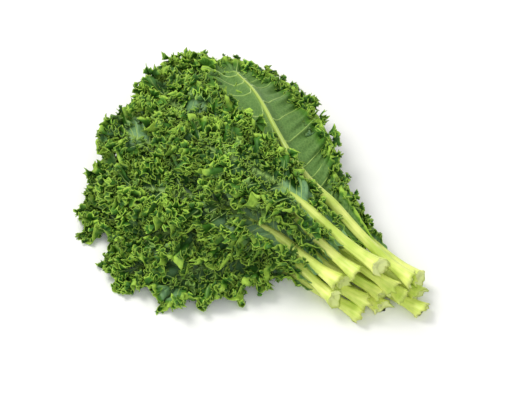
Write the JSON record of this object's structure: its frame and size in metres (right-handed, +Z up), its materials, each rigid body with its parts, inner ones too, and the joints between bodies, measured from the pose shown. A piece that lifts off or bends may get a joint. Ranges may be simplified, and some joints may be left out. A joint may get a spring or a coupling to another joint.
{
  "type": "kale bunch",
  "caption": "Bunch of curly kale lying on its side: frilled leaf blades fanned out one over another, their pale bare stalks gathered side by side, one leaf turned over.",
  "frame": {"origin": "centre of the bunch's outline seen from above, on the surface it lies on", "axes": "+X along the bunch, towards the cut ends of the stalks; +Y across it, towards the side with the turned-over leaf; +Z up"},
  "size_m": [0.4198, 0.3384, 0.1082],
  "materials": {
    "kale_stalk": "fresh pale yellow-green leaf stalk, moist satin skin",
    "kale_blade": "fresh deep green leaf with a thin waxy bloom, satin"
  },
  "bodies": {
    "root": {"leaf_01_stalk": "kale_stalk", "leaf_01_blade": "kale_blade", "leaf_02_stalk": "kale_stalk", "leaf_02_blade": "kale_blade", "leaf_03_stalk": "kale_stalk", "leaf_03_blade": "kale_blade", "leaf_04_stalk": "kale_stalk", "leaf_04_blade": "kale_blade", "leaf_05_stalk": "kale_stalk", "leaf_05_blade": "kale_blade", "leaf_06_stalk": "kale_stalk", "leaf_06_blade": "kale_blade", "leaf_07_stalk": "kale_stalk", "leaf_07_blade": "kale_blade", "leaf_08_stalk": "kale_stalk", "leaf_08_blade": "kale_blade", "leaf_09_stalk": "kale_stalk", "leaf_09_blade": "kale_blade", "leaf_10_stalk": "kale_stalk", "leaf_10_blade": "kale_blade", "leaf_11_stalk": "kale_stalk", "leaf_11_blade": "kale_blade", "leaf_12_stalk": "kale_stalk", "leaf_12_blade": "kale_blade", "leaf_13_stalk": "kale_stalk", "leaf_13_blade": "kale_blade", "leaf_14_stalk": "kale_stalk", "leaf_14_blade": "kale_blade", "leaf_15_stalk": "kale_stalk", "leaf_15_blade": "kale_blade", "leaf_16_stalk": "kale_stalk", "leaf_16_blade": "kale_blade"}
  },
  "joints": []
}
